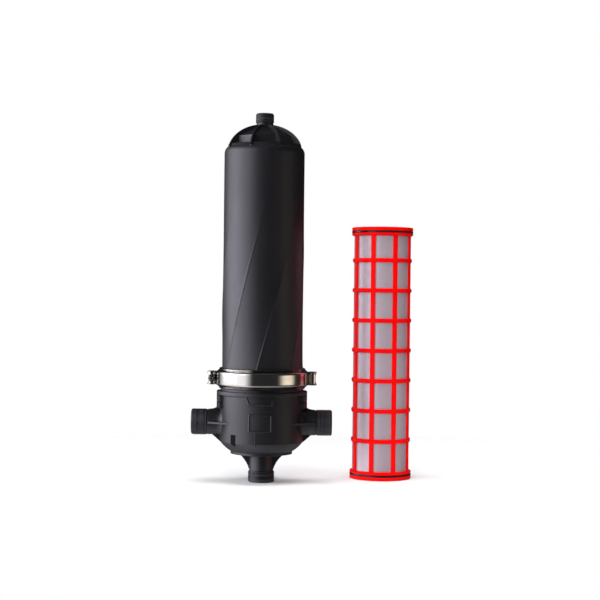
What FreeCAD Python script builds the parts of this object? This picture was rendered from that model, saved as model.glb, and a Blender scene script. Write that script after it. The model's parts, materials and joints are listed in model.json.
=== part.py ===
import FreeCAD, Part
import math
import os

from FreeCAD import Vector

# Screen filter for irrigation water, millimetres, +Z up.
# The origin is on the housing's axis, in the plane of the drain port's end.
# +X runs out through the outlet port, and -Y is the front with the label frame.

# Pipe thread ends, as plain cylinders at the thread's root
port_thread_r = 28.33
port_thread_length = 38.0
port_bore_r = 24.5
thread_relief = 1.4
relief_depth = 0.6
vent_thread_r = 19.48
vent_thread_length = 19.5
vent_bore_r = 15.0
thread_chamfer = 1.6

# Base, from the floor up
drain_neck_r = 26.8
drain_thread_length = 26.0
drain_neck_length = 36.5
bowl_floor_r = 52.4
dish_height = 30.5
dish_bulge = 6.0
bowl_wall = 5.5
bowl_wall_height = 106.7
collar_reach = 8.4
collar_thickness = 8.4
collar_round = 1.6
collar_fillet = 2.0
port_span = 320.0
port_rise = 43.0
port_hub_r = 28.9
inner_tube_wall = 4.5

# Side lugs above the ports, with their horizontal fins
lug_half_width = 40.0
lug_side_inset = 8.0
lug_groove_depth = 3.5
fin_count = 2
fin_height = 12.9
fin_pitch = 15.3
first_fin_drop = 1.9
lug_sweep_height = 13.0
lug_sweep_length = 21.0
lug_web_thickness = 18.0

# Webs and ribs that brace the ports and the drain
port_web_thickness = 5.0
port_web_reach = 19.5
port_web_drop = 15.5
side_rib_thickness = 4.6
side_rib_start = 62.0
drain_web_thickness = 6.0
drain_web_foot = 3.5
drain_web_top_r = 54.0
drain_web_hollow = 3.8

# Front of the bowl: raised pad, label frame, pocket and parting ridge
front_turn = -0.7
pad_top_width = 71.0
pad_bottom_width = 56.0
pad_height = 20.5
pad_raise = 3.4
pad_chamfer = 2.4
pad_rim = 1.2
pad_sink = 2.2
label_width = 53.4
label_height = 40.3
label_rim = 3.6
label_raise = 2.0
label_chamfer = 1.3
label_drop = 39.2
pocket_x = -64.0
pocket_width = 16.0
pocket_height = 26.0
pocket_floor_y = -66.0
pocket_wall = 4.0
pocket_rise = -6.5
ridge_turn = -7.0
ridge_width = 1.6
ridge_raise = 0.8
ridge_rise = 26.0
port_flare_r = 9.0

# Flanges that the clamp draws together, each half measured from the seam
flange_reach = 8.7
flange_root_reach = 3.6
flange_rim = 14.9
flange_slope = 1.0
neck_reach = 1.2

# Seal between the flanges, squeezed flat on two sides
seal_reach = 1.2
seal_height = 5.0
seal_flat = 1.8
seal_side_gap = 0.3

# Cover
cover_bottom_r = 92.8
cover_taper = 1.4
cover_wall = 6.0
bowl_step = 1.8
flute_count = 7
flute_depth = 1.6
flute_twist = 0.165
flute_foot_turn = -9.5
flute_end_drop = 11.5
flute_sections = 9
shoulder_height = 15.5
land_inset = 7.4
land_height = 5.5
land_draft = 1.2
dome_rise = 68.4
drum_inset = 31.4
drum_height = 19.0
roof_height = 24.0
rib_count = 8
rib_thickness = 3.2
rib_turn = 25.4
vent_neck_r = 19.0
vent_neck_length = 5.0

# Clamp: two retainers inside two straps
retainer_sheet = 1.5
retainer_lip_gap = 0.1
retainer_end_turn = 5.5
flank_gap = 0.15
web_gap = 0.5
collar_gap = 6.4
strap_sheet = 1.5
strap_height = 30.0
strap_end_turn = 4.0
strap_gap = 0.05

# Strap loops and the cross barrels that they hold
loop_sheet = 1.2
loop_height = 24.6
loop_slot_height = 16.4
loop_tail_start = 3.0
loop_tail_end = 24.0
loop_sink = 0.6
barrel_r = 7.0
barrel_gap = 0.2
barrel_offset = 14.5
barrel_head_r = 9.8
barrel_head_thickness = 2.0
barrel_head_gap = 0.3
barrel_flat = 5.4
barrel_flat_height = 17.2

# T-bolts, washers and nuts
bolt_r = 4.0
bolt_hole_gap = 0.3
bolt_tail = 7.0
washer_r = 7.5
washer_thickness = 1.6
nut_across_flats = 13.0
nut_thickness = 6.5
nut_thread_gap = 0.05
nut_seat_gap = 0.05
nut_chamfer = 0.9

# Screen element, which stands beside the housing
element_x = 276.4
element_y = 98.0
element_height = 586.0
element_bore_r = 64.6
element_bar_depth = 3.4
element_flange_depth = 6.8
element_lip_depth = 3.0
end_flange_height = 8.4
o_groove_height = 5.2
inner_flange_height = 4.8
o_groove_depth = 4.6
o_ring_r = 2.5
bar_count = 8
bar_width = 10.7
bar_turn = 23.8
hoop_count = 7
hoop_height = 9.6
first_hoop_z = 90.4
top_hoop_drop = 77.2
bead_raise = 1.2
bead_height = 7.6
edge_round = 2.4
flange_taper = 0.4
window_margin = 0.4
mesh_thickness = 0.7
mesh_gap = 0.1

# Seats inside the housing that take the two ends of the element
seat_rise = 35.0
seat_gap = 0.25
seat_depth = 24.0
seat_ledge_reach = 0.6
seat_wall = 4.6
cup_wall = 5.0
top_socket_depth = 28.0
ceiling_gap = 3.0
ceiling_rise = 13.9

# Radii that follow from the cover's
cover_top_r = cover_bottom_r - cover_taper
land_r = cover_top_r - land_inset
drum_flat_r = cover_top_r - drum_inset
bowl_r = cover_bottom_r + bowl_step
collar_r = bowl_r + collar_reach
collar_neck_r = cover_bottom_r + neck_reach
flange_r = cover_bottom_r + flange_reach
flange_root_r = cover_bottom_r + flange_root_reach
seal_centre_r = cover_bottom_r + seal_reach
retainer_lip_r = flange_root_r + retainer_lip_gap

# Radii that follow from the element's bore
bar_outer_r = element_bore_r + element_bar_depth
element_flange_r = element_bore_r + element_flange_depth
element_lip_r = element_bore_r - element_lip_depth
seat_ledge_r = element_bore_r + seat_ledge_reach

# Heights that follow
floor_z = drain_thread_length + drain_neck_length
dish_top_z = floor_z + dish_height
collar_low_z = dish_top_z + bowl_wall_height
collar_top_z = collar_low_z + collar_thickness
flank_thickness = retainer_sheet * math.sqrt(1 + flange_slope ** 2)
flange_cone = (flange_r - flange_root_r) * flange_slope
lip_half_height = (flange_rim + (flange_r - retainer_lip_r) * flange_slope
                   + flank_gap + flank_thickness)
seam_z = collar_top_z + collar_gap + lip_half_height
port_z = dish_top_z + port_rise
seat_z = port_z + seat_rise
ceiling_z = seat_z + element_height + ceiling_gap
spring_z = ceiling_z - ceiling_rise
ledge_z = spring_z + shoulder_height + land_height
drum_top_z = ledge_z + drum_height
roof_top_z = drum_top_z + roof_height
vent_thread_z = spring_z + dome_rise + vent_neck_length
vent_top_z = vent_thread_z + vent_thread_length
hoop_pitch = (element_height - first_hoop_z - top_hoop_drop) / (hoop_count - 1)

# Radii of the clamp and the seats
retainer_in_r = flange_r + web_gap
retainer_out_r = retainer_in_r + retainer_sheet
strap_in_r = retainer_out_r + strap_gap
strap_out_r = strap_in_r + strap_sheet
loop_in_r = strap_out_r + strap_gap
loop_out_r = loop_in_r + 2 * loop_sheet
loop_ring_in = barrel_r + barrel_gap
loop_ring_out = loop_ring_in + loop_sheet
barrel_reach = loop_out_r + loop_ring_out - loop_sink
barrel_x = math.sqrt(barrel_reach ** 2 - barrel_offset ** 2)
seat_r = element_flange_r + seat_gap
barrel_half = loop_height / 2 + barrel_head_gap + barrel_head_thickness

ORIGIN = Vector(0, 0, 0)
UP = Vector(0, 0, 1)
FRONT = Vector(0, -1, 0)


def corner(outline_point):
    radius, height = outline_point
    return Vector(radius, 0, height)


def outline_face(start, steps):
    """A face in the XZ plane. A step is (r, z), or (via, end) for an arc."""
    edges = []
    here = corner(start)
    for step in steps + [start]:
        if isinstance(step[0], tuple):
            via, end = step
            there = corner(end)
            edges.append(Part.Arc(here, corner(via), there).toShape())
        else:
            there = corner(step)
            edges.append(Part.makeLine(here, there))
        here = there
    return Part.Face(Part.Wire(edges))


def turned(face, start_turn=0.0, sweep=360.0):
    solid = face.revolve(ORIGIN, UP, sweep)
    solid.rotate(ORIGIN, UP, start_turn)
    return solid


def ring(inner_r, outer_r, low_z, high_z, start_turn=0.0, sweep=360.0):
    steps = [(outer_r, low_z), (outer_r, high_z), (inner_r, high_z)]
    return turned(outline_face((inner_r, low_z), steps), start_turn, sweep)


def drum(radius, low_z, high_z):
    return Part.makeCylinder(radius, high_z - low_z, Vector(0, 0, low_z))


def block(x_low, x_high, y_low, y_high, z_low, z_high):
    size = (x_high - x_low, y_high - y_low, z_high - z_low)
    return Part.makeBox(*size, Vector(x_low, y_low, z_low))


def prism(points, direction):
    return Part.Face(Part.makePolygon(points + [points[0]])).extrude(direction)


def rotated(shape, turn):
    copy = shape.copy()
    copy.rotate(ORIGIN, UP, turn)
    return copy


def flipped(shape, normal):
    return shape.mirror(ORIGIN, normal)


def moved(shape, x, y, z):
    copy = shape.copy()
    copy.translate(Vector(x, y, z))
    return copy


def save(shape, name):
    solid = shape.removeSplitter()
    if len(solid.Solids) == 1:
        solid = solid.Solids[0]
    solid.exportStep("parts/" + name + ".step")


# Base, one moulding

def base_body():
    half_cone_z = flange_rim + flange_cone
    dish_mid_r = (bowl_floor_r + bowl_r) / 2 + dish_bulge / 2
    dish_mid_z = (floor_z + dish_top_z) / 2 - dish_bulge / 2
    steps = [
        (port_thread_r - thread_chamfer, 0.0),
        (port_thread_r, thread_chamfer),
        (port_thread_r, drain_thread_length),
        (drain_neck_r, drain_thread_length + port_thread_r - drain_neck_r),
        (drain_neck_r, floor_z),
        (bowl_floor_r, floor_z),
        ((dish_mid_r, dish_mid_z), (bowl_r, dish_top_z)),
        (bowl_r, collar_low_z - collar_fillet),
        (bowl_r + collar_fillet, collar_low_z),
        (collar_r, collar_low_z),
        (collar_r, collar_top_z - collar_round),
        ((collar_r - collar_round * 0.29, collar_top_z - collar_round * 0.29),
         (collar_r - collar_round, collar_top_z)),
        (collar_neck_r, collar_top_z),
        (collar_neck_r, seam_z - half_cone_z),
        (flange_root_r, seam_z - half_cone_z),
        (flange_r, seam_z - flange_rim),
        (flange_r, seam_z),
        (0.0, seam_z),
    ]
    return turned(outline_face((0.0, 0.0), steps))


def base_cavity():
    inner_r = bowl_r - bowl_wall
    inner_floor_z = floor_z + bowl_wall
    inner_top_r = cover_bottom_r - cover_wall
    dish_mid_r = (bowl_floor_r + inner_r) / 2 + dish_bulge / 2
    dish_mid_z = (inner_floor_z + dish_top_z) / 2 - dish_bulge / 2
    steps = [
        (bowl_floor_r, inner_floor_z),
        ((dish_mid_r, dish_mid_z), (inner_r, dish_top_z)),
        (inner_r, collar_low_z),
        (inner_top_r, collar_low_z + inner_r - inner_top_r),
        (inner_top_r, seam_z),
        (0.0, seam_z),
    ]
    return turned(outline_face((0.0, inner_floor_z), steps))


def port(side):
    """One in-line port along X, with its hub; side is -1 for the inlet."""
    out = Vector(side, 0, 0)
    thread_x = port_span / 2 - port_thread_length
    plain = port_thread_length - thread_chamfer
    hub = Part.makeCylinder(port_hub_r, thread_x, Vector(0, 0, port_z), out)
    relief = Part.makeCylinder(port_thread_r - relief_depth, thread_x + plain, Vector(0, 0, port_z), out)
    thread_at = Vector(side * (thread_x + thread_relief), 0, port_z)
    thread = Part.makeCylinder(port_thread_r, plain - thread_relief, thread_at, out)
    tip_at = Vector(side * (thread_x + plain), 0, port_z)
    tip = Part.makeCone(port_thread_r, port_thread_r - thread_chamfer, thread_chamfer, tip_at, out)
    return hub.fuse([relief, thread, tip])


def lug():
    """Finned lug above the outlet port, with a swept web down onto the hub."""
    low_z = port_z + port_hub_r + lug_sweep_height / 3
    core_half = lug_half_width - lug_side_inset
    core = block(0, collar_r, -core_half, core_half, low_z, collar_low_z + collar_thickness / 2)
    core = core.common(drum(collar_r - lug_groove_depth, low_z, collar_top_z))
    fins = []
    for index in range(fin_count):
        top_z = collar_low_z - first_fin_drop - index * fin_pitch
        fin = block(0, collar_r, -lug_half_width, lug_half_width, top_z - fin_height, top_z)
        fins.append(fin.common(drum(collar_r, low_z, collar_top_z)))
    return core.fuse(fins).cut(drum(bowl_r - bowl_wall / 2, low_z, collar_top_z))


def sweep_edge(high, corner_point, low):
    curve = Part.BezierCurve()
    curve.setPoles([high, corner_point, low])
    return curve.toShape()


def lug_web():
    """Swept web between the lug and the top of the port's hub."""
    foot_z = port_z + port_hub_r
    top_z = foot_z + lug_sweep_height
    half = lug_web_thickness / 2
    face_x = collar_r - lug_groove_depth
    in_x = bowl_r - bowl_wall / 2
    high = Vector(face_x, -half, top_z)
    low = Vector(face_x + lug_sweep_length, -half, foot_z - 0.3)
    start = Vector(in_x, -half, foot_z - lug_sweep_height / 2)
    low_out = Vector(low.x, -half, start.z)
    top_in = Vector(in_x, -half, top_z)
    edges = [
        Part.makeLine(start, top_in),
        Part.makeLine(top_in, high),
        sweep_edge(high, Vector(face_x, -half, foot_z), low),
        Part.makeLine(low, low_out),
        Part.makeLine(low_out, start),
    ]
    return Part.Face(Part.Wire(edges)).extrude(Vector(0, lug_web_thickness, 0))


def port_flare():
    """Hollow curve that widens the outlet port's hub where it meets the bowl."""
    in_x = math.sqrt(bowl_r ** 2 - (port_hub_r + port_flare_r) ** 2) - 0.5
    out_x = bowl_r + port_flare_r
    wide_r = port_hub_r + port_flare_r
    base_r = port_bore_r + 1
    low = Vector(in_x, 0, base_r)
    high = Vector(in_x, 0, wide_r)
    lip = Vector(out_x, 0, port_hub_r)
    edges = [
        Part.makeLine(low, high),
        sweep_edge(high, Vector(bowl_r - port_flare_r / 3, 0, port_hub_r), lip),
        Part.makeLine(lip, Vector(out_x, 0, base_r)),
        Part.makeLine(Vector(out_x, 0, base_r), low),
    ]
    solid = Part.Face(Part.Wire(edges)).revolve(ORIGIN, Vector(1, 0, 0), 360)
    return moved(solid, 0, 0, port_z)


def port_web():
    """Triangular web under the outlet port, running into the dished floor."""
    half = port_web_thickness / 2
    hub_low_z = port_z - port_hub_r
    inner_x = bowl_r - bowl_wall / 2
    points = [
        Vector(inner_x, -half, hub_low_z + bowl_wall),
        Vector(inner_x, -half, dish_top_z - bowl_wall / 2),
        Vector(bowl_r, -half, dish_top_z - bowl_wall / 4),
        Vector(bowl_r + port_web_reach, -half, dish_top_z + port_web_drop),
        Vector(bowl_r + port_web_reach, -half, hub_low_z + bowl_wall),
    ]
    return prism(points, Vector(0, port_web_thickness, 0))


def side_rib():
    """Level rib across the outlet port's hub, tapering onto the bowl."""
    thread_x = port_span / 2 - port_thread_length
    rib_x = math.sqrt(bowl_r ** 2 - side_rib_start ** 2)
    low_z = port_z - side_rib_thickness / 2
    points = [
        Vector(rib_x - bowl_wall, -side_rib_start, low_z),
        Vector(rib_x, -side_rib_start, low_z),
        Vector(thread_x, -port_hub_r - 1, low_z),
        Vector(thread_x, port_hub_r + 1, low_z),
        Vector(rib_x, side_rib_start, low_z),
        Vector(rib_x - bowl_wall, side_rib_start, low_z),
    ]
    rib = prism(points, Vector(0, 0, side_rib_thickness))
    return rib.cut(drum(bowl_r - bowl_wall / 2, low_z - 1, low_z + side_rib_thickness + 1))


def drain_web():
    """Web with a hollow edge between the drain neck and the bowl's floor, on +X."""
    half = drain_web_thickness / 2
    foot_z = drain_thread_length + drain_web_foot
    foot = Vector(drain_neck_r + 1, -half, foot_z)
    top = Vector(drain_web_top_r, -half, floor_z + bowl_wall / 2)
    chord = top.sub(foot)
    inward = Vector(-chord.z, 0, chord.x).normalize()
    via = foot.add(chord.multiply(0.5)).add(inward.multiply(drain_web_hollow))
    inner_x = (port_bore_r + drain_neck_r) / 2
    top_in = Vector(inner_x, -half, floor_z + bowl_wall / 2)
    foot_in = Vector(inner_x, -half, foot_z)
    edges = [
        Part.Arc(foot, via, top).toShape(),
        Part.makeLine(top, top_in),
        Part.makeLine(top_in, foot_in),
        Part.makeLine(foot_in, foot),
    ]
    return Part.Face(Part.Wire(edges)).extrude(Vector(0, drain_web_thickness, 0))


def front_wire(widths, heights, depth):
    """Trapezium outline in the plane y = -depth, for a loft towards the front."""
    low_width, high_width = widths
    low_z, high_z = heights
    points = [
        Vector(-low_width / 2, -depth, low_z),
        Vector(low_width / 2, -depth, low_z),
        Vector(high_width / 2, -depth, high_z),
        Vector(-high_width / 2, -depth, high_z),
    ]
    return Part.makePolygon(points + [points[0]])


def chamfered_face(solid, radius, size):
    """Chamfers every edge that lies on the drum of this radius round the axis."""
    rim = []
    for edge in solid.Edges:
        points = edge.discretize(5)
        if all(abs(math.hypot(p.x, p.y) - radius) < 0.01 for p in points):
            rim.append(edge)
    return solid.makeChamfer(size, rim)


def pad_block(inset, low_z, high_z, depth_in, depth_out):
    """Trapezium block of the pad's outline, from one depth to another."""
    widths = (pad_bottom_width - 2 * inset, pad_top_width - 2 * inset)
    inner = front_wire(widths, (low_z, high_z), depth_in)
    outer = front_wire(widths, (low_z, high_z), depth_out)
    return Part.makeLoft([inner, outer], True, True)


def front_pad():
    """Raised trapezium under the collar, chamfered outside, with a sunk field."""
    low_z = collar_low_z - pad_height
    high_z = collar_low_z + collar_thickness / 2
    depth_in = bowl_r - 3 * bowl_wall
    face_r = bowl_r + pad_raise
    field_r = face_r - pad_sink
    pad = pad_block(0, low_z, high_z, depth_in, collar_r).common(drum(face_r, 0, high_z))
    pad = chamfered_face(pad, face_r, pad_chamfer)
    inset = pad_chamfer + pad_rim
    field = pad_block(inset, low_z + inset, collar_low_z, depth_in, collar_r)
    field = field.cut(drum(field_r, 0, high_z))
    return pad.cut([field, drum(bowl_r - bowl_wall / 2, 0, high_z)])


def label_frame():
    """Raised rectangular rim, chamfered on both sides, around a bare label field."""
    high_z = collar_low_z - label_drop
    low_z = high_z - label_height
    half = label_width / 2
    face_r = bowl_r + label_raise
    outer = block(-half, half, -collar_r, 0, low_z, high_z)
    inner = block(-half + label_rim, half - label_rim, -collar_r, 0,
                  low_z + label_rim, high_z - label_rim)
    frame = outer.cut(inner).common(ring(bowl_r - bowl_wall / 2, face_r, low_z, high_z))
    return chamfered_face(frame, face_r, label_chamfer)


def parting_ridge():
    low_z = dish_top_z - bowl_wall
    high_z = dish_top_z + ridge_rise
    half = ridge_width / 2
    bar = block(-half, half, -collar_r, 0, low_z, high_z)
    return bar.common(ring(bowl_r - bowl_wall / 2, bowl_r + ridge_raise, low_z, high_z))


def pocket():
    """Recess at the lower left with its floor square to the front."""
    low_z = dish_top_z + pocket_rise
    half = pocket_width / 2
    return block(pocket_x - half, pocket_x + half, -collar_r, pocket_floor_y, low_z, low_z + pocket_height)


def pocket_boss():
    """Wall behind the recess, inside the bowl."""
    low_z = dish_top_z + pocket_rise - pocket_wall
    high_z = low_z + pocket_height + 2 * pocket_wall
    half = pocket_width / 2 + pocket_wall
    boss = block(pocket_x - half, pocket_x + half, -collar_r, pocket_floor_y + pocket_wall, low_z, high_z)
    boss = boss.common(drum(bowl_r - bowl_wall / 2, low_z, high_z))
    return boss.common(base_body())


def cup():
    """Inner cup that carries the element's lower end, over the drain."""
    low_z = floor_z + bowl_wall / 2
    seat_out_r = seat_r + seat_wall
    cup_out_r = seat_ledge_r + cup_wall
    step_z = seat_z - seat_wall
    steps = [
        (cup_out_r, low_z),
        (cup_out_r, step_z - (seat_out_r - cup_out_r)),
        (seat_out_r, step_z),
        (seat_out_r, seat_z + seat_depth),
        (seat_r + seat_wall / 4, seat_z + seat_depth),
        (seat_r, seat_z + seat_depth - seat_wall / 2),
        (seat_r, seat_z),
        (seat_ledge_r, seat_z),
    ]
    return turned(outline_face((seat_ledge_r, low_z), steps))


def seal_groove():
    half_width = (seal_flat + seal_height) / 2 + seal_side_gap
    return ring(seal_centre_r - half_width, seal_centre_r + half_width, seam_z - seal_height, seam_z + 1)


def base():
    body = base_body()
    extras = []
    for side in (-1, 1):
        extras.append(port(side))
    for piece in (lug(), lug_web(), port_flare(), port_web(), side_rib(), drain_web()):
        extras.append(piece)
        extras.append(flipped(piece, Vector(1, 0, 0)))
    extras.append(rotated(front_pad(), front_turn))
    extras.append(rotated(label_frame(), front_turn))
    extras.append(rotated(parting_ridge(), ridge_turn))
    body = body.fuse(extras)
    body = body.cut([base_cavity(), seal_groove()])
    body = body.fuse(pocket_boss()).cut(pocket())
    reach = bowl_r - bowl_wall / 2
    inlet_tube = Part.makeCylinder(port_bore_r + inner_tube_wall, reach,
                                   Vector(-reach, 0, port_z), Vector(1, 0, 0))
    inlet_tube = inlet_tube.cut(drum(seat_ledge_r, 0, seam_z))
    inlet_tube = inlet_tube.common(block(-reach, 0, -reach, reach, 0, seam_z))
    body = body.fuse([cup(), inlet_tube])
    half_span = port_span / 2 + 1
    inlet_bore = Part.makeCylinder(port_bore_r, half_span, Vector(-half_span, 0, port_z), Vector(1, 0, 0))
    outlet_end = seat_ledge_r + cup_wall + seat_wall
    outlet_bore = Part.makeCylinder(port_bore_r, half_span - outlet_end,
                                    Vector(outlet_end, 0, port_z), Vector(1, 0, 0))
    drain_bore = drum(port_bore_r, -1, floor_z + 2 * bowl_wall)
    return body.cut([inlet_bore, outlet_bore, drain_bore])


# Cover, one moulding with seven helical flutes and a ribbed dome

def flute_section(height, share):
    """Section at one height: lobes meet in ridges that fade out towards the top."""
    ridge_r = cover_bottom_r + (cover_top_r - cover_bottom_r) * share
    valley_r = ridge_r - flute_depth * (1 - share)
    step = 360.0 / flute_count
    turn = -90 + flute_foot_turn + flute_twist * (height - seam_z)
    edges = []
    for index in range(flute_count):
        angles = (turn + index * step, turn + (index + 0.5) * step, turn + (index + 1) * step)
        radii = (ridge_r, valley_r, ridge_r)
        points = [
            Vector(r * math.cos(math.radians(a)), r * math.sin(math.radians(a)), height)
            for r, a in zip(radii, angles)
        ]
        edges.append(Part.Arc(*points).toShape())
    return Part.Wire(edges)


def fluted_wall():
    low_z = seam_z + flange_rim
    high_z = spring_z - flute_end_drop
    wires = []
    for index in range(flute_sections):
        share = index / (flute_sections - 1)
        wires.append(flute_section(low_z + (high_z - low_z) * share, share))
    return Part.makeLoft(wires, True, False)


def cover_flange():
    cone_z = seam_z + flange_rim + flange_cone
    steps = [
        (flange_r, seam_z),
        (flange_r, seam_z + flange_rim),
        (flange_root_r, cone_z),
        (0.0, cone_z),
    ]
    return turned(outline_face((0.0, seam_z), steps))


def shoulder():
    """Plain band above the flutes, rounded in to the ledge that carries the ribs."""
    low_z = spring_z - flute_end_drop
    round_z = spring_z + shoulder_height
    via_r = (cover_top_r + land_r) / 2 + (cover_top_r - land_r) * 0.21
    via_z = spring_z + shoulder_height * 0.61
    steps = [
        (cover_top_r, low_z),
        (cover_top_r, spring_z),
        ((via_r, via_z), (land_r, round_z)),
        (land_r - land_draft, ledge_z),
        (0.0, ledge_z),
    ]
    return turned(outline_face((0.0, low_z), steps))


def octagon(flat_r, height):
    corner_r = flat_r / math.cos(math.pi / rib_count)
    points = []
    for index in range(rib_count):
        angle = math.radians(-90 + rib_turn + index * 360.0 / rib_count)
        points.append(Vector(corner_r * math.cos(angle), corner_r * math.sin(angle), height))
    return Part.makePolygon(points + [points[0]])


def dome_core():
    """Flat-sided drum between the ribs, with a sloping roof up to the vent neck."""
    low = octagon(drum_flat_r, ledge_z - land_height / 2)
    high = octagon(drum_flat_r, drum_top_z)
    tip = octagon(vent_neck_r, roof_top_z)
    walls = Part.makeLoft([low, high], True, True)
    roof = Part.makeLoft([high, tip], True, True)
    neck = drum(vent_neck_r, drum_top_z, vent_thread_z)
    return walls.fuse([roof, neck])


def dome_envelope():
    """Half ellipsoid that the ribs' outer edges follow, cut off at the ledge."""
    ellipse = Part.Ellipse(Vector(cover_top_r, 0, spring_z),
                           Vector(0, 0, spring_z + dome_rise), Vector(0, 0, spring_z))
    cap = Part.ArcOfEllipse(ellipse, 0, math.pi / 2).toShape()
    down = Part.makeLine(Vector(0, 0, spring_z + dome_rise), Vector(0, 0, spring_z))
    out = Part.makeLine(Vector(0, 0, spring_z), Vector(cover_top_r, 0, spring_z))
    solid = turned(Part.Face(Part.Wire([out, cap, down])))
    sheath = drum(land_r - land_draft, ledge_z - land_height / 2, spring_z + dome_rise)
    return solid.common(sheath)


def dome_ribs():
    envelope = dome_envelope()
    half = rib_thickness / 2
    plates = []
    for index in range(rib_count):
        plate = block(0, cover_top_r, -half, half, ledge_z - land_height / 2, vent_thread_z)
        plates.append(rotated(plate, -90 + rib_turn + index * 360.0 / rib_count))
    return plates[0].fuse(plates[1:]).common(envelope)


def vent_nipple():
    plain = vent_thread_length - thread_chamfer
    thread = drum(vent_thread_r, vent_thread_z, vent_thread_z + plain)
    tip = Part.makeCone(vent_thread_r, vent_thread_r - thread_chamfer, thread_chamfer,
                        Vector(0, 0, vent_thread_z + plain))
    return thread.fuse(tip)


def cover_cavity():
    low_r = cover_bottom_r - cover_wall
    top_r = cover_top_r - cover_wall
    drum_in_r = drum_flat_r - cover_wall
    drum_in_z = drum_top_z - cover_wall / 2
    throat_z = drum_in_z + (drum_in_r - vent_bore_r) * roof_height / (drum_flat_r - vent_neck_r)
    steps = [
        (low_r, seam_z - 1),
        (low_r, seam_z),
        (top_r, spring_z),
        (land_r - 2 * cover_wall, ceiling_z),
        (drum_in_r, ceiling_z),
        (drum_in_r, drum_in_z),
        (vent_bore_r, throat_z),
        (vent_bore_r, vent_top_z + 1),
        (0.0, vent_top_z + 1),
    ]
    return turned(outline_face((0.0, seam_z - 1), steps))


def top_socket():
    """Ring under the ceiling that takes the element's upper end."""
    low_z = ceiling_z - top_socket_depth
    steps = [
        (seat_r + seat_wall, low_z),
        (seat_r + seat_wall, ceiling_z + cover_wall / 4),
        (seat_r, ceiling_z + cover_wall / 4),
        (seat_r, low_z + seat_wall / 2),
    ]
    return turned(outline_face((seat_r + seat_wall / 4, low_z), steps))


def cover():
    body = fluted_wall().fuse([cover_flange(), shoulder(), dome_core(), dome_ribs(), vent_nipple()])
    return body.cut(cover_cavity()).fuse(top_socket())


def housing_seal():
    half_flat = seal_flat / 2
    radius = seal_height / 2
    low_z = seam_z - seal_height
    mid_z = low_z + radius
    outer = seal_centre_r + half_flat
    inner = seal_centre_r - half_flat
    steps = [
        ((outer + radius, mid_z), (outer, seam_z)),
        (inner, seam_z),
        ((inner - radius, mid_z), (inner, low_z)),
    ]
    return turned(outline_face((outer, low_z), steps))


# Clamp

def retainer():
    """Half of the pressed channel that wedges the two flanges together, at the rear."""
    def flank_z(radius):
        return seam_z + flange_rim + (flange_r - radius) * flange_slope + flank_gap

    def below(point):
        return (point[0], 2 * seam_z - point[1])

    upper = [
        (retainer_out_r, flank_z(retainer_out_r) + flank_thickness),
        (retainer_lip_r, flank_z(retainer_lip_r) + flank_thickness),
        (retainer_lip_r, flank_z(retainer_lip_r)),
        (retainer_in_r, flank_z(retainer_in_r)),
    ]
    lower = [below(point) for point in reversed(upper)]
    face = outline_face(upper[0], upper[1:] + lower)
    return turned(face, retainer_end_turn, 180 - 2 * retainer_end_turn)


def strap():
    """Half of the outer band, at the rear."""
    half = strap_height / 2
    return ring(strap_in_r, strap_out_r, seam_z - half, seam_z + half,
                strap_end_turn, 180 - 2 * strap_end_turn)


def loop(for_nut):
    """Folded loop on the strap's end, at the rear on +X, slotted for the T-bolt."""
    half = loop_height / 2
    tail = ring(loop_in_r, loop_out_r, seam_z - half, seam_z + half,
                loop_tail_start, loop_tail_end - loop_tail_start)
    centre = Vector(barrel_x, barrel_offset, seam_z - half)
    eye = Part.makeCylinder(loop_ring_out, loop_height, centre)
    hole = Part.makeCylinder(loop_ring_in, loop_height + 2, Vector(centre.x, centre.y, centre.z - 1))
    slot_end = barrel_offset + bolt_r + bolt_hole_gap
    if for_nut:
        slot_end = barrel_offset + 2 * loop_ring_out
    slot = block(loop_out_r, barrel_x + 2 * loop_ring_out, 0, slot_end,
                 seam_z - loop_slot_height / 2, seam_z + loop_slot_height / 2)
    slot = slot.cut(drum(loop_out_r, 0, spring_z))
    return tail.fuse(eye).cut([hole, slot])


def barrel(centre_y):
    """Upright barrel with a disc head at each end, on +X."""
    foot = Vector(barrel_x, centre_y, seam_z - barrel_half)
    pin = Part.makeCylinder(barrel_r, 2 * barrel_half, foot)
    low_head = Part.makeCylinder(barrel_head_r, barrel_head_thickness, foot)
    high_at = Vector(barrel_x, centre_y, seam_z + barrel_half - barrel_head_thickness)
    high_head = Part.makeCylinder(barrel_head_r, barrel_head_thickness, high_at)
    return pin.fuse([low_head, high_head])


def trunnion():
    """Barrel in the nut's loop: flat where the washer bears, drilled for the bolt."""
    flat_y = -barrel_offset - barrel_flat
    notch = block(barrel_x - barrel_r, barrel_x + barrel_r, flat_y - barrel_r, flat_y,
                  seam_z - barrel_flat_height / 2, seam_z + barrel_flat_height / 2)
    hole = Part.makeCylinder(bolt_r + bolt_hole_gap, 4 * barrel_r,
                             Vector(barrel_x, -barrel_offset + 2 * barrel_r, seam_z), FRONT)
    return barrel(-barrel_offset).cut([notch, hole])


washer_back_y = -barrel_offset - barrel_flat
nut_back_y = washer_back_y - washer_thickness - nut_seat_gap
nut_front_y = nut_back_y - nut_thickness
bolt_end_y = nut_front_y - bolt_tail


def t_bolt():
    shank = Part.makeCylinder(bolt_r, barrel_offset - bolt_end_y - bolt_r / 4,
                              Vector(barrel_x, barrel_offset, seam_z), FRONT)
    tip = Part.makeCone(bolt_r, bolt_r * 0.75, bolt_r / 4,
                        Vector(barrel_x, bolt_end_y + bolt_r / 4, seam_z), FRONT)
    return barrel(barrel_offset).fuse([shank, tip])


def washer():
    disc = Part.makeCylinder(washer_r, washer_thickness, Vector(barrel_x, washer_back_y, seam_z), FRONT)
    hole = Part.makeCylinder(bolt_r + bolt_hole_gap, washer_thickness + 2,
                             Vector(barrel_x, washer_back_y + 1, seam_z), FRONT)
    return disc.cut(hole)


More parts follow.
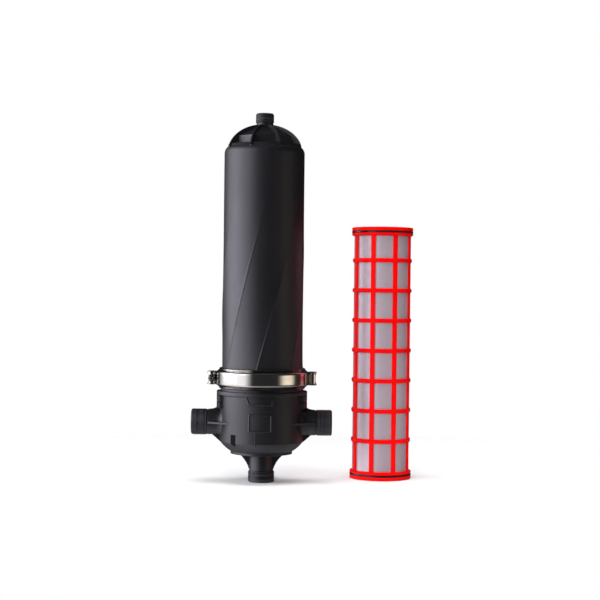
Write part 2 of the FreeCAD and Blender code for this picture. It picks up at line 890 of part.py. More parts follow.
def nut():
    """Hexagon nut with both faces chamfered, threaded on the T-bolt."""
    corner_r = nut_across_flats / 2 / math.cos(math.pi / 6)
    points = []
    for index in range(6):
        angle = math.pi / 3 * index
        points.append(Vector(barrel_x + corner_r * math.sin(angle), nut_back_y,
                             seam_z + corner_r * math.cos(angle)))
    body = prism(points, Vector(0, -nut_thickness, 0))
    cone_r = corner_r - nut_chamfer
    spread = nut_thickness / 2
    flare = corner_r + spread - nut_chamfer
    half_a = Part.makeCone(cone_r, flare, spread, Vector(barrel_x, nut_back_y, seam_z), FRONT)
    half_b = Part.makeCone(flare, cone_r, spread,
                           Vector(barrel_x, nut_back_y - spread, seam_z), FRONT)
    body = body.common(half_a.fuse(half_b))
    hole = Part.makeCylinder(bolt_r + nut_thread_gap, nut_thickness + 2,
                             Vector(barrel_x, nut_back_y + 1, seam_z), FRONT)
    return body.cut(hole)


# Screen element

def frame_shell():
    """Turned outline of the cage before its windows are opened."""
    low_groove = end_flange_height
    low_flange = low_groove + o_groove_height
    low_body = low_flange + inner_flange_height
    groove_r = element_flange_r - o_groove_depth
    steps = [
        (element_flange_r - edge_round, 0.0),
        ((element_flange_r - edge_round * 0.29, edge_round * 0.29), (element_flange_r, edge_round)),
        (element_flange_r, low_groove),
        (groove_r, low_groove),
        (groove_r, low_flange),
        (element_flange_r, low_flange),
        (element_flange_r, low_body),
        (bar_outer_r, low_body + (element_flange_r - bar_outer_r) * flange_taper),
    ]
    bead_slope = bead_raise
    for index in range(hoop_count):
        middle = first_hoop_z + index * hoop_pitch
        half = bead_height / 2
        steps.append((bar_outer_r, middle - half))
        steps.append((bar_outer_r + bead_raise, middle - half + bead_slope))
        steps.append((bar_outer_r + bead_raise, middle + half - bead_slope))
        steps.append((bar_outer_r, middle + half))
    top = element_height
    steps.extend([
        (bar_outer_r, top - low_body - (element_flange_r - bar_outer_r) * flange_taper),
        (element_flange_r, top - low_body),
        (element_flange_r, top - low_flange),
        (groove_r, top - low_flange),
        (groove_r, top - low_groove),
        (element_flange_r, top - low_groove),
        (element_flange_r, top - edge_round),
        ((element_flange_r - edge_round * 0.29, top - edge_round * 0.29),
         (element_flange_r - edge_round, top)),
        (element_lip_r, top),
        (element_lip_r, top - low_flange),
        (element_bore_r, top - low_flange),
        (element_bore_r, low_flange),
        (element_lip_r, low_flange),
    ])
    return turned(outline_face((element_lip_r, 0.0), steps))


def window_rows():
    """Lower and upper height of every row of windows."""
    end_body = end_flange_height + o_groove_height + inner_flange_height
    margin = (element_flange_r - bar_outer_r) * flange_taper + window_margin
    rows = []
    low = end_body + margin
    for index in range(hoop_count):
        middle = first_hoop_z + index * hoop_pitch
        rows.append((low, middle - hoop_height / 2))
        low = middle + hoop_height / 2
    rows.append((low, element_height - end_body - margin))
    return rows


def windows():
    step = 360.0 / bar_count
    bar_angle = math.degrees(bar_width / bar_outer_r)
    reach = bar_outer_r + bead_raise + 1
    cutters = []
    for low, high in window_rows():
        for index in range(bar_count):
            start = -90 + bar_turn + bar_angle / 2 + index * step
            sweep = step - bar_angle
            cutters.append(ring(element_lip_r - 1, reach, low, high, start, sweep))
    return cutters


def placed(shape):
    return moved(shape, element_x, element_y, 0)


def screen_frame():
    return placed(frame_shell().cut(windows()))


def mesh_sleeve():
    outer_r = element_bore_r - mesh_gap
    end = end_flange_height + o_groove_height
    return placed(ring(outer_r - mesh_thickness, outer_r, end, element_height - end))


def element_seal(middle_z):
    return placed(Part.makeTorus(element_flange_r - o_groove_depth + o_ring_r, o_ring_r,
                                 Vector(0, 0, middle_z)))


BACK_TO_FRONT = Vector(0, 1, 0)
RIGHT_TO_LEFT = Vector(1, 0, 0)

os.makedirs("parts", exist_ok=True)

save(base(), "base")
save(cover(), "cover")
save(housing_seal(), "housing_seal")

save(retainer(), "clamp_channel_rear")
save(flipped(retainer(), BACK_TO_FRONT), "clamp_channel_front")
save(strap(), "clamp_strap_rear")
save(flipped(strap(), BACK_TO_FRONT), "clamp_strap_front")

# The two halves of the clamp are alike, so the right nut is behind and the left one in front.
fasteners = {
    "t_bolt": t_bolt(),
    "trunnion": trunnion(),
    "washer": washer(),
    "nut": nut(),
}
for piece_name, piece in fasteners.items():
    save(flipped(piece, BACK_TO_FRONT), piece_name + "_right")
    save(flipped(piece, RIGHT_TO_LEFT), piece_name + "_left")
save(loop(True), "loop_rear_right")
save(flipped(loop(False), BACK_TO_FRONT), "loop_front_right")
save(flipped(loop(False), RIGHT_TO_LEFT), "loop_rear_left")
save(rotated(loop(True), 180), "loop_front_left")

save(screen_frame(), "screen_frame")
save(mesh_sleeve(), "screen_mesh")
groove_middle = end_flange_height + o_groove_height / 2
save(element_seal(groove_middle), "element_seal_lower")
save(element_seal(element_height - groove_middle), "element_seal_upper")
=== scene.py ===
import json
import math

import bpy
from mathutils import Matrix, Vector


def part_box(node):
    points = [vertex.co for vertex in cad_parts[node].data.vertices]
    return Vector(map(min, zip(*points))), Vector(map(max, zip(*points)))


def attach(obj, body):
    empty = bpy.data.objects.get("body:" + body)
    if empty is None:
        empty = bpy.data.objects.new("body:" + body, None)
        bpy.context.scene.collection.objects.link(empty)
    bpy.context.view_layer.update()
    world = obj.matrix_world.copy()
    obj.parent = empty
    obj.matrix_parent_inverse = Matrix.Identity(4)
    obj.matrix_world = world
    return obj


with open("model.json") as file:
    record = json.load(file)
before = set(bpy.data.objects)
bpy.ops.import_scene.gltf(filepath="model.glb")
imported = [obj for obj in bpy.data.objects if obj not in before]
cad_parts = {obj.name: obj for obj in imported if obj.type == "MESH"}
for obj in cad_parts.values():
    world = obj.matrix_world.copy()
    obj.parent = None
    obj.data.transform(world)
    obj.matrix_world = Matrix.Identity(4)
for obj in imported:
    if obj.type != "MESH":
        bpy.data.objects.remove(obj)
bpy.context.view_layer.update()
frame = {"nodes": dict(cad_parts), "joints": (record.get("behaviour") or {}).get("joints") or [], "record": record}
nodes = frame["nodes"]
mounts = {mount["name"]: mount for mount in frame["record"]["mounts"]}
joints = {joint["name"]: joint for joint in frame["joints"]}
cover_low, cover_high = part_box("cover")
strap_low, strap_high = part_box("clamp_strap_front")
mesh_low, mesh_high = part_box("screen_mesh")

# Sizes taken from the frame, metres
port_z = mounts["outlet_port"]["pos_m"][2]
port_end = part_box("base")[1].x
thread_root = mounts["outlet_port"]["dims"]["r_mm"] / 1000
vent_top_z = cover_high.z
seam_z = cover_low.z
barrel_x = joints["nut_right_spin"]["pos_m"][0]
strap_half = (strap_high.z - strap_low.z) / 2
element_x = (mesh_low.x + mesh_high.x) / 2
element_y = (mesh_low.y + mesh_high.y) / 2
mesh_radius = (mesh_high.x - mesh_low.x) / 2

# The cover's outside, as in its solid; turns are in degrees, and flute_twist in degrees per metre
cover_bottom_r = 0.0928
cover_taper = 0.0014
flute_count = 7
flute_twist = 165.0
flute_foot_turn = -9.5
flute_low_z = 0.2516
flute_end_drop = 0.0115
shoulder_height = 0.0155
land_height = 0.0055
land_inset = 0.0074
land_draft = 0.0012
dome_rise = 0.0684
vent_rise = 0.0245
rib_count = 8
rib_turn = 25.4
cover_top_r = cover_bottom_r - cover_taper
rib_end_r = cover_top_r - land_inset - land_draft
spring_z = vent_top_z - vent_rise - dome_rise
flute_high_z = spring_z - flute_end_drop
land_low_z = spring_z + shoulder_height
ledge_z = land_low_z + land_height


# Materials

class NodeTree:
    """A shader's node tree with short helpers. A value may be plain or the output of another node."""

    def __init__(self, tree):
        self.tree = tree

    def feed(self, socket, value):
        if isinstance(value, bpy.types.NodeSocket):
            self.tree.links.new(value, socket)
        else:
            socket.default_value = value

    def add(self, kind, *values, **named):
        """New node, its inputs filled in order or by name."""
        made = self.tree.nodes.new(kind)
        for index, value in enumerate(values):
            self.feed(made.inputs[index], value)
        for name, value in named.items():
            self.feed(made.inputs[name.replace("_", " ")], value)
        return made

    def math(self, operation, *values):
        made = self.add("ShaderNodeMath", *values)
        made.operation = operation
        return made.outputs[0]

    def ramp(self, value, low, high, start=0.0, end=1.0, smooth=False):
        """Goes from start to end while the value goes from low to high, and is level outside."""
        made = self.add("ShaderNodeMapRange", value, low, high, start, end)
        if smooth:
            made.interpolation_type = "SMOOTHSTEP"
        return made.outputs[0]

    def blend(self, factor, first, second):
        """Mixes two colours, which the node has at inputs 6 and 7 and at output 2."""
        made = self.add("ShaderNodeMix", Factor=factor)
        made.data_type = "RGBA"
        self.feed(made.inputs[6], first)
        self.feed(made.inputs[7], second)
        return made.outputs[2]


class Shader(NodeTree):
    """A principled material with short helpers for texture and relief."""

    def __init__(self, name, roughness=0.4, metallic=0.0):
        self.material = bpy.data.materials.new(name)
        self.material.use_nodes = True
        super().__init__(self.material.node_tree)
        self.bsdf = self.tree.nodes["Principled BSDF"]
        self.coords = self.add("ShaderNodeTexCoord").outputs["Object"]
        self.set(Roughness=roughness, Metallic=metallic)

    def set(self, **inputs):
        for name, value in inputs.items():
            self.feed(self.bsdf.inputs[name.replace("_", " ")], value)

    def axis(self, letter):
        made = self.add("ShaderNodeSeparateXYZ", self.coords)
        return made.outputs["XYZ".index(letter)]

    def stretched(self, x, y, z):
        made = self.add("ShaderNodeMapping", Vector=self.coords, Scale=(x, y, z))
        return made.outputs[0]

    def noise(self, scale, detail, vector=None):
        made = self.add("ShaderNodeTexNoise", Vector=vector or self.coords,
                        Scale=scale, Detail=detail, Roughness=0.55)
        return made.outputs[0]

    def axis_noise(self, letter, scale, detail):
        """Noise that changes along one axis only."""
        made = self.tree.nodes.new("ShaderNodeTexNoise")
        made.noise_dimensions = "1D"
        for name, value in (("W", self.axis(letter)), ("Scale", scale), ("Detail", detail)):
            self.feed(made.inputs[name], value)
        return made.outputs[0]

    def rounded(self, radius):
        """Normal that rounds the edges by the radius."""
        made = self.add("ShaderNodeBevel", Radius=radius)
        made.samples = 4
        return made.outputs[0]

    def bump(self, height, strength, distance, normal=None):
        made = self.add("ShaderNodeBump", Height=height, Strength=strength, Distance=distance)
        if normal:
            self.feed(made.inputs["Normal"], normal)
        return made.outputs[0]


def black_plastic(name):
    """Shader with the sheen that all black mouldings share."""
    shader = Shader(name)
    shader.set(IOR=1.7, Specular_Tint=(0.92, 0.91, 1.0, 1))
    return shader


def plastic_grain(shader, edge):
    """Fine moulded grain over edges rounded by the given radius."""
    grain = shader.noise(scale=2600.0, detail=2.0)
    return shader.bump(grain, strength=0.10, distance=0.0002, normal=shader.rounded(edge))


def housing_plastic(name, streak_scale, edge, matt_band=None):
    """Black moulding: satin sheen, faint flow clouds and streaks, matt between two heights."""
    deep = (0.0022, 0.0021, 0.0030, 1)
    pale = (0.0034, 0.0032, 0.0042, 1)
    dust = (0.007, 0.0066, 0.0086, 1)
    shader = black_plastic(name)
    cloud = shader.noise(scale=14.0, detail=4.0)
    streak = shader.noise(scale=1.0, detail=3.0, vector=shader.stretched(*streak_scale))
    tone = shader.blend(shader.ramp(cloud, 0.35, 0.65), deep, pale)
    tone = shader.blend(shader.ramp(streak, 0.55, 0.75, end=0.25), tone, dust)
    rough = shader.math("ADD", shader.ramp(cloud, 0.3, 0.7, start=0.43, end=0.49),
                        shader.ramp(streak, 0.4, 0.7, end=0.05))
    if matt_band:
        low, high = matt_band
        soft_edge = 0.0006
        sharp_edge = 0.0002
        added = 0.5
        up = shader.ramp(shader.axis("Z"), low - soft_edge, low + soft_edge)
        down = shader.ramp(shader.axis("Z"), high - sharp_edge, high + sharp_edge, start=1.0, end=0.0)
        band = shader.math("MULTIPLY", up, down)
        rough = shader.math("ADD", rough, shader.math("MULTIPLY", band, added))
    relief = shader.bump(streak, strength=0.05, distance=0.0003, normal=plastic_grain(shader, edge))
    shader.set(Base_Color=tone, Roughness=rough, Normal=relief)
    return shader.material


def thread_plastic(name, letter):
    """Black plastic of the moulded threads, with pale rings along the axis painted in as the highlights of the
    thread's ridges.
    """
    ring_width = 0.0040
    plain_black = (0.001, 0.001, 0.0015, 1)
    painted_ring_highlight = (0.034, 0.032, 0.038, 1)
    shader = black_plastic(name)
    highlight_rings = shader.axis_noise(letter, scale=1 / ring_width, detail=1.0)
    # The pale rings are a painted highlight standing in for light caught by the thread's ridges.
    tone = shader.blend(shader.ramp(highlight_rings, 0.44, 0.56), plain_black, painted_ring_highlight)
    rough = shader.ramp(highlight_rings, 0.4, 0.6, start=0.36, end=0.48)
    shader.set(Base_Color=tone, Roughness=rough, Normal=plastic_grain(shader, edge=0.0003))
    return shader.material


def polished_steel():
    """Rolled stainless band: mirror finish, fine lines round the band and a slight crown."""
    bright = (0.59, 0.57, 0.54, 1)
    dull = (0.50, 0.485, 0.465, 1)
    crown_height = 0.0015
    crown_power = 10.0
    shader = Shader("clamp_steel", roughness=0.1, metallic=1.0)
    lines = shader.noise(scale=1.0, detail=4.0, vector=shader.stretched(6.0, 6.0, 1500.0))
    smudge = shader.noise(scale=40.0, detail=3.0)
    tone = shader.blend(smudge, bright, dull)
    rough = shader.math("ADD", shader.ramp(lines, 0.3, 0.7, start=0.11, end=0.16),
                        shader.ramp(smudge, 0.45, 0.75, end=0.05))
    relief = shader.bump(lines, strength=0.04, distance=0.0001, normal=shader.rounded(0.0008))
    rise = shader.math("DIVIDE", shader.math("SUBTRACT", shader.axis("Z"), seam_z), strap_half)
    bend = shader.math("POWER", shader.math("ABSOLUTE", rise), crown_power)
    crown = shader.math("MULTIPLY", bend, -1.0)
    relief = shader.bump(crown, strength=1.0, distance=crown_height, normal=relief)
    shader.set(Base_Color=tone, Roughness=rough, Normal=relief)
    return shader.material


def bolt_thread(shader, side):
    """The region of one T-bolt's shank, and the height of the fine thread on its free end."""
    pitch = 0.00125
    reach = 0.0043
    plain_length = 0.006
    dx = shader.math("SUBTRACT", shader.axis("X"), side * barrel_x)
    dz = shader.math("SUBTRACT", shader.axis("Z"), seam_z)
    square = shader.math("ADD", shader.math("MULTIPLY", dx, dx), shader.math("MULTIPLY", dz, dz))
    shank = shader.math("LESS_THAN", square, reach ** 2)
    ahead = shader.math("GREATER_THAN", shader.math("MULTIPLY", shader.axis("Y"), side), plain_length)
    turn = shader.math("DIVIDE", shader.math("ARCTAN2", dz, dx), 2 * math.pi)
    run = shader.math("ADD", shader.math("DIVIDE", shader.axis("Y"), pitch), turn)
    wave = shader.math("PINGPONG", run, 0.5)
    return shank, shader.math("MULTIPLY", wave, shader.math("MULTIPLY", shank, ahead))


def bolt_steel(name, side=0):
    """Turned stainless; on a T-bolt, whose side is 1 or -1, the shank carries a fine thread."""
    bright = (0.50, 0.49, 0.48, 1)
    dull = (0.34, 0.33, 0.33, 1)
    groove_shade_colour = (0.16, 0.15, 0.14, 1)
    thread_depth = 0.0009
    shader = Shader(name, roughness=0.25, metallic=1.0)
    fleck = shader.noise(scale=900.0, detail=3.0)
    cloud = shader.noise(scale=120.0, detail=2.0)
    tone = shader.blend(cloud, bright, dull)
    rough = shader.math("ADD", shader.ramp(cloud, 0.3, 0.7, start=0.18, end=0.3),
                        shader.ramp(fleck, 0.4, 0.7, end=0.06))
    relief = shader.bump(fleck, strength=0.08, distance=0.0001, normal=shader.rounded(0.0004))
    if side:
        shank, ridge = bolt_thread(shader, side)
        relief = shader.bump(ridge, strength=1.0, distance=thread_depth, normal=relief)
        # Painted shade darkens the bottoms of the thread's grooves; the same darker colour covers the shank's
        # plain length.
        groove_shade = shader.math("MULTIPLY", shader.ramp(ridge, 0.0, 0.25, start=0.5, end=0.0), shank)
        tone = shader.blend(groove_shade, tone, groove_shade_colour)
    shader.set(Base_Color=tone, Roughness=rough, Normal=relief)
    return shader.material


def red_plastic():
    """Bright glossy red moulding with soft mottling."""
    bright = (0.88, 0.001, 0.0015, 1)
    deep = (0.76, 0.0006, 0.001, 1)
    shader = Shader("red_plastic")
    cloud = shader.noise(scale=30.0, detail=4.0)
    grain = shader.noise(scale=1500.0, detail=2.0)
    tone = shader.blend(shader.ramp(cloud, 0.3, 0.7), bright, deep)
    rough = shader.ramp(cloud, 0.3, 0.7, start=0.42, end=0.52)
    relief = shader.bump(grain, strength=0.08, distance=0.0002, normal=shader.rounded(0.0006))
    shader.set(Base_Color=tone, Roughness=rough, Normal=relief, IOR=1.40, Specular_IOR_Level=0.12)
    return shader.material


def seal_rubber():
    """Smooth black rubber of the O-rings."""
    dark = (0.006, 0.006, 0.006, 1)
    pale = (0.013, 0.012, 0.013, 1)
    shader = Shader("seal_rubber")
    grain = shader.noise(scale=1200.0, detail=2.0)
    cloud = shader.noise(scale=50.0, detail=3.0)
    tone = shader.blend(cloud, dark, pale)
    rough = shader.ramp(cloud, 0.3, 0.7, start=0.14, end=0.24)
    relief = shader.bump(grain, strength=0.12, distance=0.0001)
    shader.set(Base_Color=tone, Roughness=rough, Normal=relief)
    return shader.material


def woven_steel():
    """Fine plain weave of stainless wire, laid out round the element's axis."""
    pitch = 0.0007
    gap_shade = (0.24, 0.22, 0.24, 1)
    bright = (0.72, 0.58, 0.67, 1)
    dull = (0.62, 0.50, 0.57, 1)
    shader = Shader("woven_steel", metallic=0.5)
    dx = shader.math("SUBTRACT", shader.axis("X"), element_x)
    dy = shader.math("SUBTRACT", shader.axis("Y"), element_y)
    around = shader.math("MULTIPLY", shader.math("ARCTAN2", dy, dx), mesh_radius / pitch)
    along = shader.math("DIVIDE", shader.axis("Z"), pitch)
    across_wave = shader.math("ABSOLUTE", shader.math("SINE", shader.math("MULTIPLY", around, math.pi)))
    along_wave = shader.math("ABSOLUTE", shader.math("SINE", shader.math("MULTIPLY", along, math.pi)))
    both = shader.math("ADD", shader.math("FLOOR", around), shader.math("FLOOR", along))
    check = shader.math("MODULO", shader.math("ABSOLUTE", both), 2.0)
    over = shader.math("MULTIPLY", across_wave, check)
    under = shader.math("MULTIPLY", along_wave, shader.math("SUBTRACT", 1.0, check))
    height = shader.math("ADD", over, under)
    cloud = shader.noise(scale=9.0, detail=3.0)
    wires = shader.blend(cloud, bright, dull)
    # Painted shade: the weave's gaps and the wires' low points take the darker gap colour.
    tone = shader.blend(shader.ramp(height, 0.1, 0.75), gap_shade, wires)
    rough = shader.ramp(cloud, 0.3, 0.7, start=0.36, end=0.48)
    relief = shader.bump(height, strength=0.3, distance=0.0002)
    shader.set(Base_Color=tone, Roughness=rough, Normal=relief)
    return shader.material


cover_plastic = housing_plastic("cover_plastic", (30.0, 30.0, 3.0), edge=0.0007,
                                matt_band=(land_low_z, ledge_z))
base_plastic = housing_plastic("base_plastic", (12.0, 12.0, 12.0), edge=0.0013)
port_thread_plastic = thread_plastic("port_thread_plastic", "X")
end_thread_plastic = thread_plastic("end_thread_plastic", "Z")
steel = polished_steel()
fastener_steel = bolt_steel("fastener_steel")
rubber = seal_rubber()

finish = {
    "cover": cover_plastic,
    "base": base_plastic,
    "screen_frame": red_plastic(),
    "screen_mesh": woven_steel(),
    "t_bolt_left": bolt_steel("t_bolt_steel_left", -1),
    "t_bolt_right": bolt_steel("t_bolt_steel_right", 1),
}
for name, node in nodes.items():
    if name in finish:
        material = finish[name]
    elif "seal" in name:
        material = rubber
    elif name.startswith(("clamp", "loop")):
        material = steel
    else:
        material = fastener_steel
    node.data.materials.clear()
    node.data.materials.append(material)


# Meshes

def mesh_object(name, vertices, faces, material, smooth=True):
    """New object of one material, shaded smooth or flat."""
    mesh = bpy.data.meshes.new(name)
    mesh.from_pydata(vertices, [], faces)
    mesh.update()
    made = bpy.data.objects.new(name, mesh)
    bpy.context.scene.collection.objects.link(made)
    mesh.materials.append(material)
    for polygon in mesh.polygons:
        polygon.use_smooth = smooth
    return made


def strip_faces(strips, size, closed=False, flip=False):
    """Quads between neighbouring rows of size points each.

    A closed strip joins each row's last point to its first, and flip turns the faces over.
    """
    faces = []
    for strip in range(strips):
        first = strip * size
        for step in range(size if closed else size - 1):
            a = first + step
            b = first + (step + 1) % size
            faces.append((a, a + size, b + size, b) if flip else (a, b, b + size, a + size))
    return faces


def mirrored(half):
    """Section that runs in from the far left to the middle, and out again on the right."""
    return [(-along, share) for along, share in half] + [point for point in reversed(half) if point[0]]


# Threads on the pipe ends

pipe_crest = 0.0596 / 2
vent_root = 0.0190
vent_crest = 0.0419 / 2
thread_pitch = 0.002309
thread_inset = 0.0008
port_ridge_length = 0.0356
drain_ridge_length = 0.0250
vent_ridge_length = 0.0230
steps_per_turn = 72
half_ridge = 0.0011
run_out_turns = 0.3
ridge_section = mirrored([(0.49, -0.12), (0.37, 0.42), (0.21, 0.86), (0.0, 1.0)])


def thread(name, root, crest, low, length, place, material):
    """Helical ridge of pipe thread from low upwards along Z, moved by the matrix."""
    count = int((length - 2 * half_ridge) / thread_pitch * steps_per_turn)
    vertices = []
    for index in range(count + 1):
        angle = 2 * math.pi * index / steps_per_turn
        middle = low + half_ridge + thread_pitch * index / steps_per_turn
        ends = min(index, count - index) / (steps_per_turn * run_out_turns)
        depth = (crest - root) * min(1.0, ends)
        for along, share in ridge_section:
            radius = root + depth * share
            point = Vector((radius * math.cos(angle), radius * math.sin(angle),
                            middle + along * thread_pitch))
            vertices.append(place @ point)
    faces = strip_faces(count, len(ridge_section), flip=True)
    made = mesh_object(name, vertices, faces, material)
    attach(made, "filter")


upright = Matrix.Identity(4)
to_right = Matrix.Translation((0, 0, port_z)) @ Matrix.Rotation(math.pi / 2, 4, "Y")
to_left = Matrix.Translation((0, 0, port_z)) @ Matrix.Rotation(-math.pi / 2, 4, "Y")
port_start = port_end - thread_inset - port_ridge_length
vent_start = vent_top_z - thread_inset - vent_ridge_length
thread("outlet_thread", thread_root, pipe_crest, port_start, port_ridge_length,
       to_right, port_thread_plastic)
thread("inlet_thread", thread_root, pipe_crest, port_start, port_ridge_length,
       to_left, port_thread_plastic)
thread("drain_thread", thread_root, pipe_crest, thread_inset, drain_ridge_length,
       upright, end_thread_plastic)
thread("vent_thread", vent_root, vent_crest, vent_start, vent_ridge_length,
       upright, end_thread_plastic)


# Rounded beads along the cover's helical ridges, fading out upwards

bead_top_z = 0.600
bead_half = 0.0032
bead_raise = 0.00042
bead_rows = 110
bead_section = mirrored([(1.0, -0.7), (0.8, 0.0), (0.5, 0.65), (0.18, 0.97)])


def flute_bead(name, start):
    """Low rounded bead up one ridge, whose turn at the seam is start."""
    vertices = []
    for index in range(bead_rows + 1):
        share = index / bead_rows
        height = flute_low_z + (bead_top_z - flute_low_z) * share
        climb = (height - flute_low_z) / (flute_high_z - flute_low_z)
        radius = cover_bottom_r - cover_taper * climb
        angle = math.radians(start + flute_twist * (height - seam_z))
        fade = 1 - share * share
        for offset, raised in bead_section:
            turn = angle + offset * bead_half / radius
            reach = radius + raised * bead_raise * fade
            vertices.append((reach * math.cos(turn), reach * math.sin(turn), height))
    made = mesh_object(name, vertices, strip_faces(bead_rows, len(bead_section)), cover_plastic)
    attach(made, "filter")


for index in range(flute_count):
    flute_bead("flute_bead_%d" % (index + 1), -90 + flute_foot_turn + index * 360.0 / flute_count)


# Feet that carry the dome's ribs out over the shoulder

foot_rise = 0.0080
foot_drop = 0.0016
foot_end_rise = 0.0109
foot_half = 0.00165
foot_overlap = 0.0002
foot_steps = 6
foot_top_z = ledge_z + foot_rise
foot_low_z = ledge_z - foot_drop
foot_end_z = spring_z + foot_end_rise


def rib_foot(name, turn):
    """Fin along the rib's outer curve, from the solid rib's end down on to the shoulder."""
    inner_r = rib_end_r - foot_overlap
    curve = []
    for index in range(foot_steps + 1):
        height = foot_low_z + (foot_top_z - foot_low_z) * index / foot_steps
        reach = cover_top_r * math.sqrt(1 - ((height - spring_z) / dome_rise) ** 2)
        curve.append((reach, height))
    outline = [(inner_r, foot_end_z), (curve[0][0], foot_end_z)] + curve + [(inner_r, foot_top_z)]
    out = Vector((math.cos(turn), math.sin(turn), 0.0))
    across = Vector((-out.y, out.x, 0.0))
    vertices = []
    for side in (-foot_half, foot_half):
        vertices += [out * reach + across * side + Vector((0, 0, height)) for reach, height in outline]
    size = len(outline)
    faces = [tuple(range(size)), tuple(reversed(range(size, 2 * size)))]
    faces += strip_faces(1, size, closed=True, flip=True)
    made = mesh_object(name, vertices, faces, cover_plastic, smooth=False)
    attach(made, "filter")


for index in range(rib_count):
    rib_foot("rib_foot_%d" % (index + 1), math.radians(-90 + rib_turn + index * 360.0 / rib_count))


# Turned lips on the clamp channels' edges

lip_centre_r = 0.0970
lip_rise = 0.0221
lip_r = 0.0008
lip_end_turn = 5.5
lip_rows = 96
lip_sides = 8


def clamp_lip(name, start, height):
    """Round bar along half a turn from the start angle, short of both ends."""
    vertices = []
    for index in range(lip_rows + 1):
        turn = math.radians(start + lip_end_turn + (180 - 2 * lip_end_turn) * index / lip_rows)
        for step in range(lip_sides):
            round_turn = 2 * math.pi * step / lip_sides
            reach = lip_centre_r + lip_r * math.cos(round_turn)
            vertices.append((reach * math.cos(turn), reach * math.sin(turn),
                             height + lip_r * math.sin(round_turn)))
    faces = strip_faces(lip_rows, lip_sides, closed=True)
    faces.append(tuple(range(lip_sides)))
    faces.append(tuple(reversed(range(lip_rows * lip_sides, (lip_rows + 1) * lip_sides))))
    made = mesh_object(name, vertices, faces, steel)
    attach(made, "filter")


for half_name, start in (("rear", 0), ("front", 180)):
    clamp_lip("lip_upper_" + half_name, start, seam_z + lip_rise)
    clamp_lip("lip_lower_" + half_name, start, seam_z - lip_rise)


# Studio

floor_centre = (0.12, 0.0, 0.0)
floor_radius = 1.25
floor_sides = 96


def paper_floor():
    """Matt white studio paper that fades out towards the disc's edge."""
    white = (0.90, 0.90, 0.90, 1)
    grey = (0.88, 0.88, 0.885, 1)
    fade_start = 0.6 * floor_radius
    fade_end = 0.97 * floor_radius
    shader = Shader("paper_floor", roughness=0.9)
    fibre = shader.noise(scale=260.0, detail=5.0)
    cloud = shader.noise(scale=3.0, detail=2.0)
    relief = shader.bump(fibre, strength=0.05, distance=0.0003)
    shader.set(Base_Color=shader.blend(cloud, white, grey), Normal=relief)
    reach = shader.add("ShaderNodeVectorMath", shader.coords, floor_centre)
    reach.operation = "DISTANCE"
    fade = shader.ramp(reach.outputs["Value"], fade_start, fade_end)
    clear = shader.add("ShaderNodeBsdfTransparent")
    both = shader.add("ShaderNodeMixShader", fade, shader.bsdf.outputs[0], clear.outputs[0])
    shader.feed(shader.tree.nodes["Material Output"].inputs["Surface"], both.outputs[0])
    return shader.material


def disc_floor():
    """Round sheet of paper that carries the shadow."""
    vertices = []
    for index in range(floor_sides):
        turn = 2 * math.pi * index / floor_sides
        vertices.append((floor_centre[0] + floor_radius * math.cos(turn),
                         floor_centre[1] + floor_radius * math.sin(turn), 0.0))
    floor = mesh_object("studio_floor", vertices, [tuple(range(floor_sides))], paper_floor())
    floor.visible_glossy = False


# Panels and levels of the studio that the object reflects

key_level = 3.75
key_bearing_in = (-2.45, -1.75)
key_bearing_out = (-0.84, -0.38)
key_tilt_in = (-0.35, 0.0)
key_tilt_out = (0.3, 0.75)
key_low_share = 0.25
horizon_share = 0.45
horizon_span = (0.07, 0.22)
warm_level = 1.75
warm_bearing_in = (0.7, 1.1)
warm_bearing_out = (1.3, 1.65)
warm_tilt = -0.05
warm_tilt_out = (0.05, 0.1)
zenith_level = 0.07
zenith_span = (0.6, 0.95)
ground_level = 0.4
ground_span = (-0.7, -0.2)
front_level = 0.034
cool_white = (0.97, 0.96, 1.0, 1)
warm_white = (1.0, 0.86, 0.68, 1)


def studio_level(studio):
    """Brightness in each direction, and the share of it that is the warm panel's.

    A bearing is in radians from the front, positive to the right, and a tilt is the upward part of
    the direction, from -1 to 1. A panel fades in and out over its spans.
    """

    def window(value, span_in, span_out, low=0.0):
        rise = studio.ramp(value, *span_in, start=low, smooth=True)
        fall = studio.ramp(value, *span_out, start=1.0, end=0.0, smooth=True)
        return studio.math("MULTIPLY", rise, fall)

    direction = studio.add("ShaderNodeTexCoord").outputs["Generated"]
    x, y, z = studio.add("ShaderNodeSeparateXYZ", direction).outputs
    bearing = studio.math("ARCTAN2", x, studio.math("MULTIPLY", y, -1.0))
    height = window(z, key_tilt_in, key_tilt_out, low=key_low_share)
    horizon = studio.ramp(studio.math("ABSOLUTE", z), *horizon_span, start=horizon_share, smooth=True)
    height = studio.math("MULTIPLY", height, horizon)
    key = studio.math("MULTIPLY", window(bearing, key_bearing_in, key_bearing_out), height)
    key = studio.math("MULTIPLY", key, key_level)
    off_warm = studio.math("ABSOLUTE", studio.math("SUBTRACT", z, warm_tilt))
    band = studio.ramp(off_warm, *warm_tilt_out, start=warm_level, end=0.0, smooth=True)
    warm = studio.math("MULTIPLY", window(bearing, warm_bearing_in, warm_bearing_out), band)
    zenith = studio.ramp(z, *zenith_span, end=zenith_level, smooth=True)
    ground = studio.ramp(z, *ground_span, start=ground_level, end=0.0, smooth=True)
    plain = studio.math("ADD", studio.math("MAXIMUM", zenith, ground), front_level)
    level = studio.math("ADD", studio.math("ADD", key, warm), plain)
    return level, studio.math("DIVIDE", warm, level)


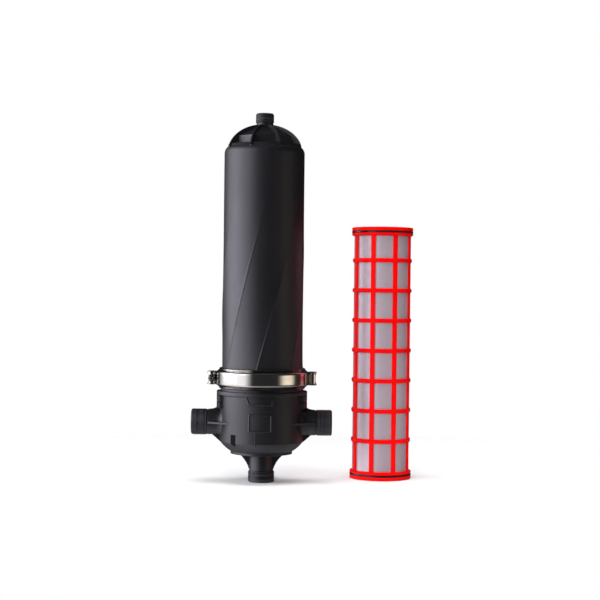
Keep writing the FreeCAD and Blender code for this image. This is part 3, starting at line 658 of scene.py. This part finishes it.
def studio_world():
    """White to the camera. To the object it is a studio that is dark in front, bright on the left."""
    world = bpy.data.worlds.new("studio_world")
    bpy.context.scene.world = world
    world.use_nodes = True
    studio = NodeTree(world.node_tree)
    studio.tree.nodes.clear()
    level, warm_share = studio_level(studio)
    tint = studio.blend(warm_share, cool_white, warm_white)
    seen = studio.add("ShaderNodeLightPath").outputs["Is Camera Ray"]
    lit = studio.add("ShaderNodeBackground", tint, level)
    white = studio.add("ShaderNodeBackground", (1, 1, 1, 1), 1.0)
    mix = studio.add("ShaderNodeMixShader", seen, lit.outputs[0], white.outputs[0])
    studio.add("ShaderNodeOutputWorld", mix.outputs[0])


def area_light(name, place, target, size, power, colour=(1, 1, 1), glossy=False):
    data = bpy.data.lights.new(name, "AREA")
    data.shape = "RECTANGLE"
    data.size, data.size_y = size
    data.energy = power
    data.color = colour
    lamp = bpy.data.objects.new(name, data)
    lamp.location = place
    direction = Vector(target) - Vector(place)
    lamp.rotation_euler = direction.to_track_quat("-Z", "Y").to_euler()
    lamp.visible_glossy = glossy
    bpy.context.scene.collection.objects.link(lamp)


disc_floor()
studio_world()
area_light("overhead", place=(0.3, -0.2, 2.6), target=(0.2, 0.1, 0), size=(2.6, 2.0), power=84)
area_light("element_fill", place=(0.0, -3.0, 1.6), target=(0.27, 0, 0.3), size=(1.6, 1.2), power=63)
area_light("side_card", place=(-1.4, -0.1, 0.44), target=(0, 0, 0.44), size=(1.2, 0.5), power=6.5,
           colour=(0.92, 0.92, 1.0), glossy=True)


# Camera at the photograph's distance, height and slight lean

camera_place = (0.084, -3.42, 0.438)
camera_lean = math.radians(0.65)
focal_length = 90
sensor_width = 36
image_pixels = 600
shift_pixels = -10

lens = bpy.data.cameras.new("camera")
lens.lens = focal_length
lens.sensor_width = sensor_width
lens.shift_y = shift_pixels / image_pixels
camera = bpy.data.objects.new("camera", lens)
camera.matrix_world = (Matrix.Translation(camera_place) @ Matrix.Rotation(math.pi / 2, 4, "X")
                       @ Matrix.Rotation(camera_lean, 4, "Z"))
bpy.context.scene.collection.objects.link(camera)
bpy.context.scene.camera = camera
bpy.context.scene.view_settings.view_transform = "Standard"
